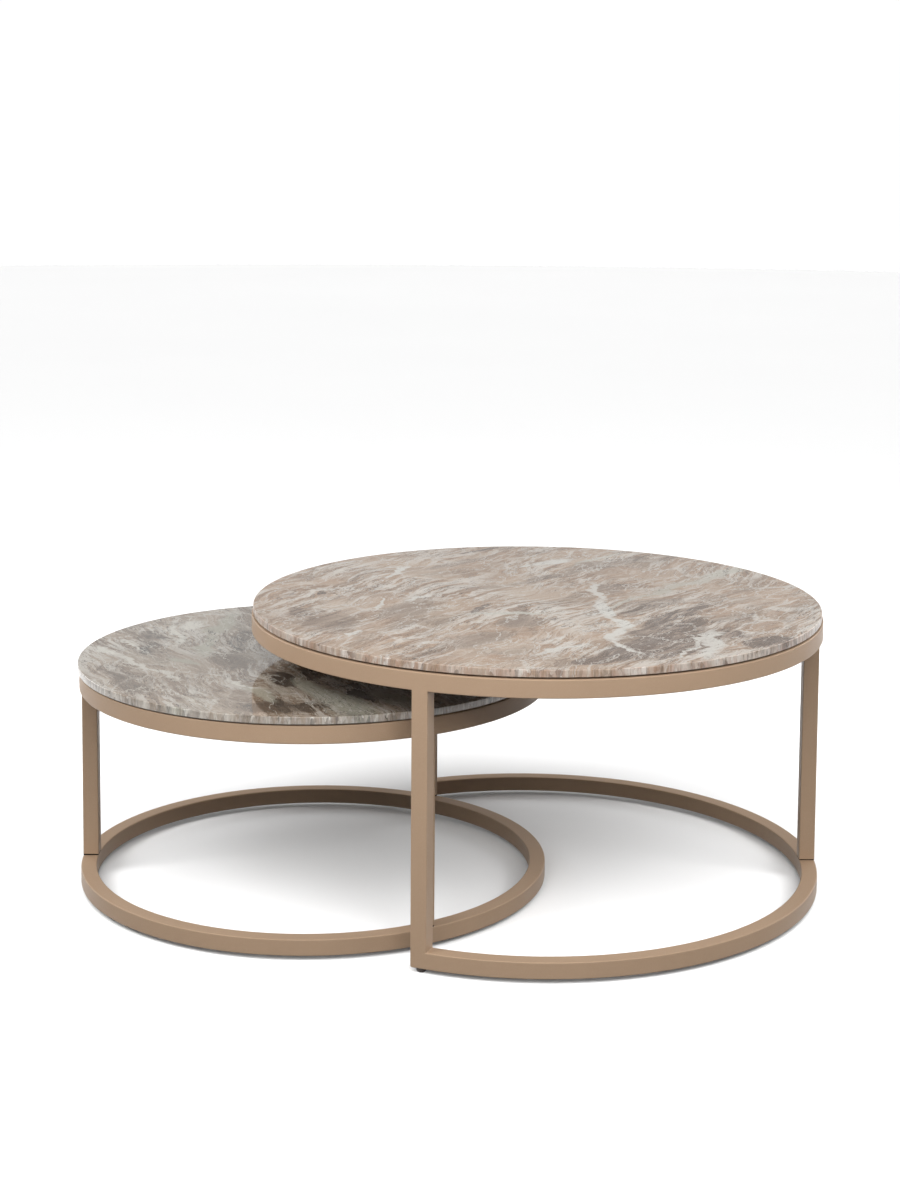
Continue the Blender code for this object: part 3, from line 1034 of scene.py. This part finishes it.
def make_glide(table, side):
    """A levelling glide: a rounded foot under a stem whose thread is shown as grooves."""
    node = f"{table}_foot_{side}"
    low, high = low_of(node).z, high_of(node).z
    radius = radius_of(node)
    shoulder = low_of(f"{table}_foot_nut_{side}").z - SMALL_EDGE
    profile = [(0.0, low)]
    profile += arc(FOOT_TIP - SMALL_EDGE, low + SMALL_EDGE, SMALL_EDGE, -90, -30, steps=3)
    profile += [(radius - SMALL_EDGE, low + FOOT_TIP_HEIGHT - SMALL_EDGE)]
    profile += [(radius, low + FOOT_TIP_HEIGHT + SMALL_EDGE), (radius, shoulder - 2 * SMALL_EDGE)]
    profile += arc(radius - SMALL_EDGE, shoulder - SMALL_EDGE, SMALL_EDGE, 0, 90, steps=4)
    profile += [(THREAD_ROOT, shoulder)]
    turns = int((high - shoulder) / THREAD_PITCH)
    for turn in range(turns):
        start = shoulder + turn * THREAD_PITCH
        for reach, share in THREAD_TURN:
            profile += [(reach, start + share * THREAD_PITCH)]
    profile += [(THREAD_ROOT, high - SMALL_EDGE), (THREAD_ROOT - THREAD_DEPTH, high), (0.0, high)]
    bm = lathe(middle_of(node), profile, SMALL_STEPS)
    new_piece(f"{table}_glide_{side}", bm, "foot_plastic", f"{table}_foot_{side}", "foot_plastic", node)


def make_rivet_nut(table, side):
    """A plated rivet nut: a sleeve with a chamfered bore and a thin rounded flange."""
    node = f"{table}_foot_nut_{side}"
    low, high = low_of(node).z, high_of(node).z
    flange = radius_of(node)
    flange_top = low + NUT_FLANGE
    profile = [(NUT_BORE, high), (NUT - SMALL_EDGE, high), (NUT, high - SMALL_EDGE), (NUT, flange_top)]
    profile += arc(flange - SMALL_EDGE, flange_top - SMALL_EDGE, SMALL_EDGE, 90, 0, steps=4)
    profile += arc(flange - SMALL_EDGE, low + SMALL_EDGE, SMALL_EDGE, 0, -90, steps=4)
    profile += [(NUT_BORE + SMALL_EDGE, low), (NUT_BORE, low + SMALL_EDGE)]
    bm = lathe(middle_of(node), profile, SMALL_STEPS, hollow=True)
    new_piece(f"{table}_rivet_nut_{side}", bm, "zinc_steel", BODIES[table], "zinc_steel", node)


def make_leg_insert(table, side):
    """A square insert in the foot of a leg, with a thin collar that fills the seam; its near-black colour is
    painted shade, so the seam shows as a dark line.
    """
    node = f"{table}_leg_spigot_{side}"
    post_high = high_of(node).z
    collar_low = high_of(f"{table}_base_ring").z + COLLAR_GAP
    collar_high = low_of(f"{table}_leg_{side}").z + SEAM_OPEN - COLLAR_GAP
    half = SPIGOT / 2
    wide = INSERT_COLLAR / 2
    levels = [
        (half - INSERT_CHAMFER, post_high), (half, post_high - INSERT_CHAMFER), (half, collar_high),
        (wide, collar_high), (wide, collar_low),
    ]
    bearing = radians(BEARINGS[table][side])
    centre = middle_of(node)
    bm = bmesh.new()
    rings = []
    for reach, z in levels:
        ring = []
        cut = reach - INSERT_CORNER
        for quarter in range(4):
            turn = Matrix.Rotation(bearing + quarter * pi / 2, 3, "Z")
            for x, y in ((reach, cut), (cut, reach)):
                place = turn @ Vector((x, y, 0.0))
                ring.append(bm.verts.new((centre.x + place.x, centre.y + place.y, z)))
        rings.append(ring)
    for upper, lower in zip(rings, rings[1:]):
        for step in range(len(upper)):
            after = (step + 1) % len(upper)
            bm.faces.new([upper[step], upper[after], lower[after], lower[step]])
    bm.faces.new(rings[0])
    bm.faces.new(rings[-1])
    new_piece(f"{table}_leg_insert_{side}", bm, "joint", BODIES[table], "powder_coat", node)


for table in TABLES:
    for number in BUMPERS:
        make_bumper(table, number)
    for side in SIDES[table]:
        make_rivet_nut(table, side)
        make_glide(table, side)
        if f"{table}_leg_spigot_{side}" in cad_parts:
            make_leg_insert(table, side)
